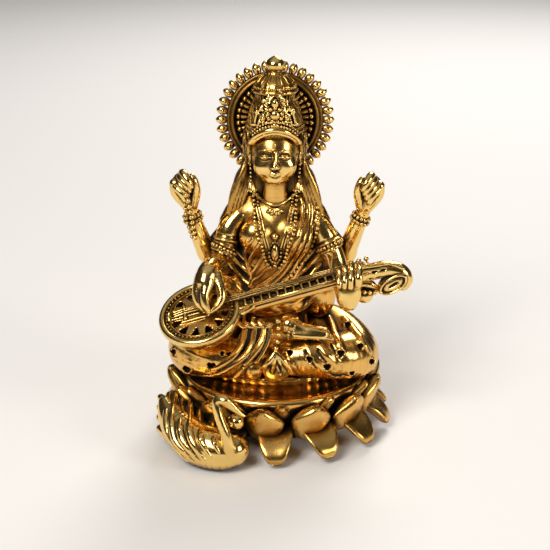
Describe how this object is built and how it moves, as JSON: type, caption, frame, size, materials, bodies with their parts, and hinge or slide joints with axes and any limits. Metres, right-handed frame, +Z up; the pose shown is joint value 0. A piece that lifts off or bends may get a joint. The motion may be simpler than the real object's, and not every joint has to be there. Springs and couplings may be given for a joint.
{
  "type": "seated goddess statuette",
  "caption": "Cross-legged goddess with veena, rosary, crown and beaded halo on a lotus base with a swan; small antique-gold cast figurine that stands on a shelf.",
  "frame": {"origin": "centre of the flat face the lotus base stands on", "axes": "+Z up, the figure faces -Y, +X towards the figure's own left (the viewer's right from the front)"},
  "size_m": [0.053, 0.0539, 0.0803],
  "materials": {
    "antique_gold": "antique-gold plating, polished on the high spots, brown patina in the recesses",
    "bright_gold": "antique-gold plating rubbed bright",
    "dark_gold": "antique-gold plating with heavy brown-black patina",
    "pin_steel": "plain ground steel dowel"
  },
  "bodies": {
    "root": {"base_core": "dark_gold", "base_pin": "pin_steel", "platform": "antique_gold", "petals_lower": "antique_gold", "petals_middle": "antique_gold", "petals_upper": "antique_gold", "seat_plate": "antique_gold", "swan_body": "bright_gold", "swan_neck": "bright_gold", "swan_wing": "bright_gold", "hips": "antique_gold", "right_leg": "antique_gold", "left_leg": "antique_gold", "foot": "bright_gold", "pleats": "antique_gold", "girdle_tassel": "bright_gold", "torso": "antique_gold", "drape": "antique_gold", "neck": "antique_gold", "head": "bright_gold", "veil": "dark_gold", "hair_locks": "dark_gold", "crown_band": "antique_gold", "diadem": "bright_gold", "crown_rosette": "bright_gold", "crown_canopy": "antique_gold", "crown_finial": "bright_gold", "halo_disc": "dark_gold", "halo_beads": "bright_gold", "halo_rays": "antique_gold", "halo_strut": "dark_gold", "right_front_arm": "bright_gold", "right_front_hand": "bright_gold", "left_front_arm": "bright_gold", "left_front_hand": "bright_gold", "right_rear_arm": "bright_gold", "right_rear_hand": "bright_gold", "left_rear_arm": "bright_gold", "left_rear_hand": "bright_gold", "collar": "bright_gold", "long_chain": "bright_gold", "bead_necklace": "bright_gold", "shoulder_beads": "bright_gold", "pendant": "bright_gold", "earrings": "bright_gold", "armlets": "bright_gold", "bracelets": "bright_gold", "rosary": "bright_gold", "anklet": "bright_gold", "veena_bowl": "bright_gold", "veena_soundboard": "antique_gold", "veena_bridge": "bright_gold", "veena_neck": "antique_gold", "veena_frets": "bright_gold", "veena_strings": "bright_gold", "veena_scroll": "bright_gold", "veena_gourd": "bright_gold", "veena_pegs": "bright_gold"}
  },
  "joints": []
}
